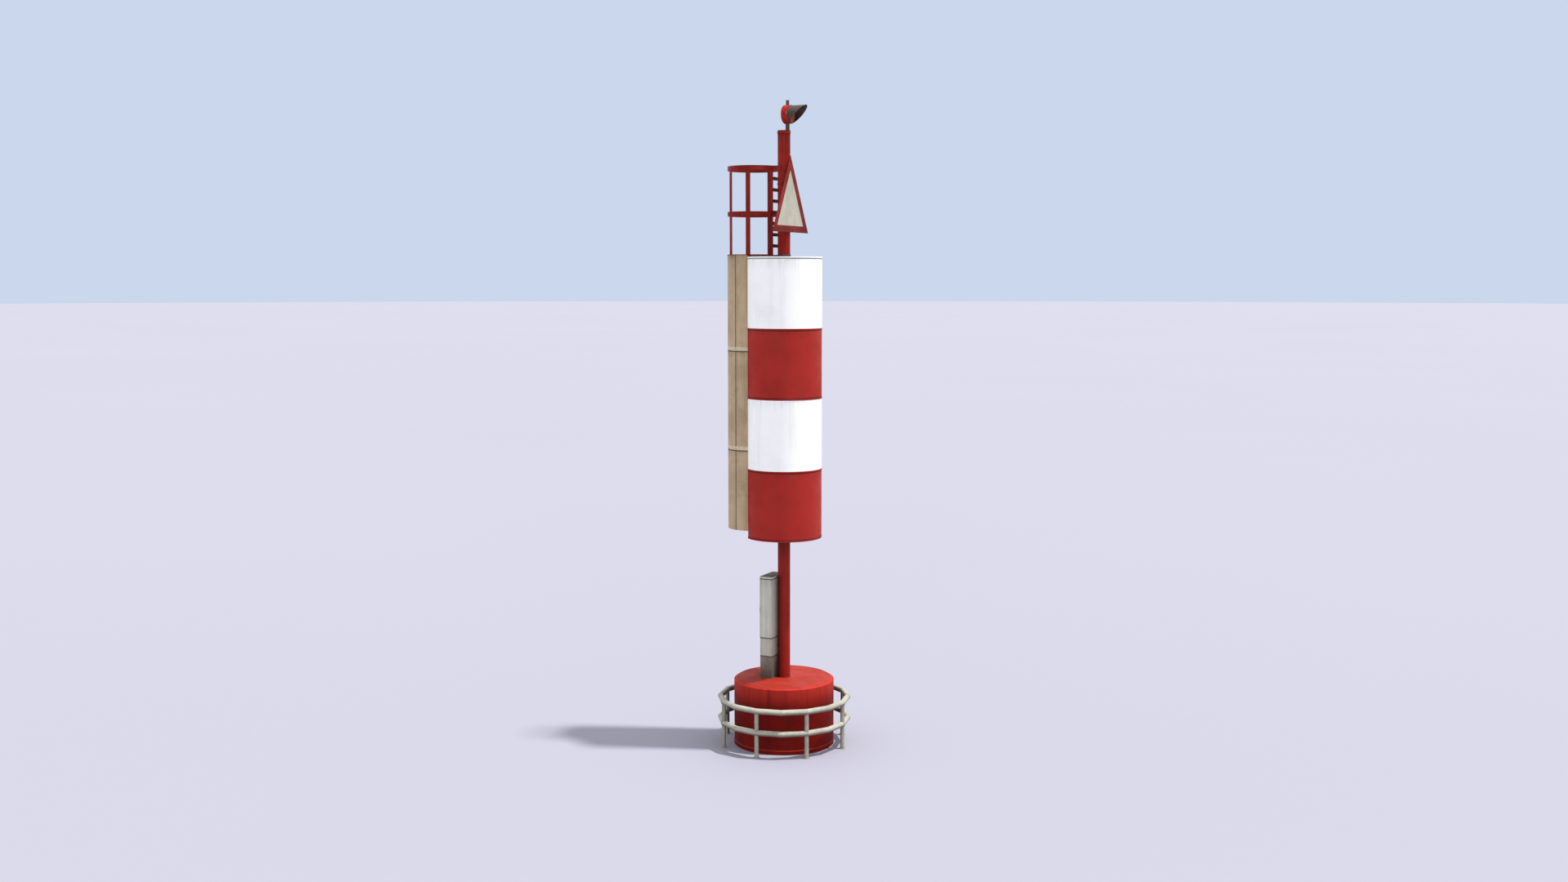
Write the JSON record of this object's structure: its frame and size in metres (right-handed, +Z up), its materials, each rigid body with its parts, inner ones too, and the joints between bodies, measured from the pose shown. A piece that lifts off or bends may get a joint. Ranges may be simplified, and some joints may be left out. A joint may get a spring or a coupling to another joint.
{
  "type": "leading light beacon tower",
  "caption": "Round foundation with a guard ring, tubular mast, banded daymark drum with a rear ladder shaft and cage, triangle topmark, hooded signal lamp and equipment cabinet.",
  "frame": {"origin": "mast axis at ground level, under the middle of the round foundation", "axes": "+Z up along the mast, +X the way the lamp and the topmark face, ladder shaft on -X"},
  "size_m": [3.7, 3.7, 17.574],
  "materials": {
    "foundation_paint": "satin",
    "concrete": "matte",
    "rail_paint": "matte",
    "mast_paint": "satin",
    "band_red": "satin",
    "band_white": "satin",
    "galvanised": "matte",
    "shaft_beige": "matte",
    "cage_paint": "satin",
    "topmark_white": "matte",
    "topmark_red": "satin",
    "cabinet_paint": "matte",
    "zinc": "satin",
    "dark_plastic": "matte",
    "controller_case": "satin",
    "dark_metal": "matte",
    "lamp_red": "satin",
    "circuit_board": "satin",
    "led_clear": "gloss",
    "amber_lens": "gloss"
  },
  "bodies": {
    "root": {"foundation_shell": "foundation_paint", "foundation_core": "concrete", "guard_rail_top": "rail_paint", "guard_rail_lower": "rail_paint", "guard_post_1": "rail_paint", "guard_post_2": "rail_paint", "guard_post_3": "rail_paint", "guard_post_4": "rail_paint", "guard_post_5": "rail_paint", "guard_post_6": "rail_paint", "guard_post_7": "rail_paint", "guard_post_8": "rail_paint", "mast_tube": "mast_paint", "mast_cap": "mast_paint", "daymark_band_1": "band_red", "daymark_band_2": "band_white", "daymark_band_3": "band_red", "daymark_band_4": "band_white", "daymark_deck": "mast_paint", "daymark_floor": "mast_paint", "daymark_frames": "galvanised", "shaft_section_1": "shaft_beige", "shaft_section_2": "shaft_beige", "shaft_section_3": "shaft_beige", "cage_base_hoop": "cage_paint", "cage_mid_hoop": "cage_paint", "cage_top_hoop": "cage_paint", "cage_strips": "cage_paint", "ladder_stile_left": "cage_paint", "ladder_stile_right": "cage_paint", "ladder_rungs": "cage_paint", "ladder_brackets": "cage_paint", "topmark_panel": "topmark_white", "topmark_frame_left": "topmark_red", "topmark_frame_right": "topmark_red", "topmark_frame_bottom": "topmark_red", "topmark_carriers": "topmark_red", "cabinet_plinth": "concrete", "cabinet_battery_case": "cabinet_paint", "cabinet_battery_cover": "cabinet_paint", "cabinet_housing": "cabinet_paint", "cabinet_lid": "cabinet_paint", "cabinet_hinge_pins": "zinc", "cabinet_shelf": "zinc", "cabinet_batteries": "dark_plastic", "cabinet_controller": "controller_case", "cable_gland": "dark_plastic", "lamp_stem": "dark_metal"},
    "lamp_head": {"lamp_post": "dark_metal", "lamp_housing": "lamp_red", "lamp_back_cover": "lamp_red", "lamp_led_board": "circuit_board", "lamp_leds": "led_clear", "lamp_hinge_pin": "zinc"},
    "lamp_door": {"lamp_bezel": "dark_metal", "lamp_lens": "amber_lens", "lamp_hood": "dark_metal"},
    "lamp_latch": {"lamp_latch": "zinc"},
    "cabinet_door": {"cabinet_door": "cabinet_paint"},
    "cabinet_handle": {"cabinet_handle": "dark_plastic"}
  },
  "joints": [
    {"name": "lamp_swivel", "type": "hinge", "parent": "root", "child": "lamp_head", "pos_m": [0.105, 0, 16.9], "axis": [0, 0, 1], "range_deg": [-90, 90]},
    {"name": "lamp_door_hinge", "type": "hinge", "parent": "lamp_head", "child": "lamp_door", "pos_m": [0.2155, 0.264, 17.2], "axis": [0, 0, 1], "range_deg": [0, 100]},
    {"name": "lamp_latch_turn", "type": "hinge", "parent": "lamp_head", "child": "lamp_latch", "pos_m": [0.19, -0.2605, 17.2], "axis": [0, 1, 0], "range_deg": [0, 90]},
    {"name": "cabinet_door_hinge", "type": "hinge", "parent": "root", "child": "cabinet_door", "pos_m": [-0.546, 0.396, 3.78], "axis": [0, 0, -1], "range_deg": [0, 110]},
    {"name": "cabinet_handle_turn", "type": "hinge", "parent": "cabinet_door", "child": "cabinet_handle", "pos_m": [-0.553, -0.33, 3.78], "axis": [1, 0, 0], "range_deg": [0, 90]}
  ]
}
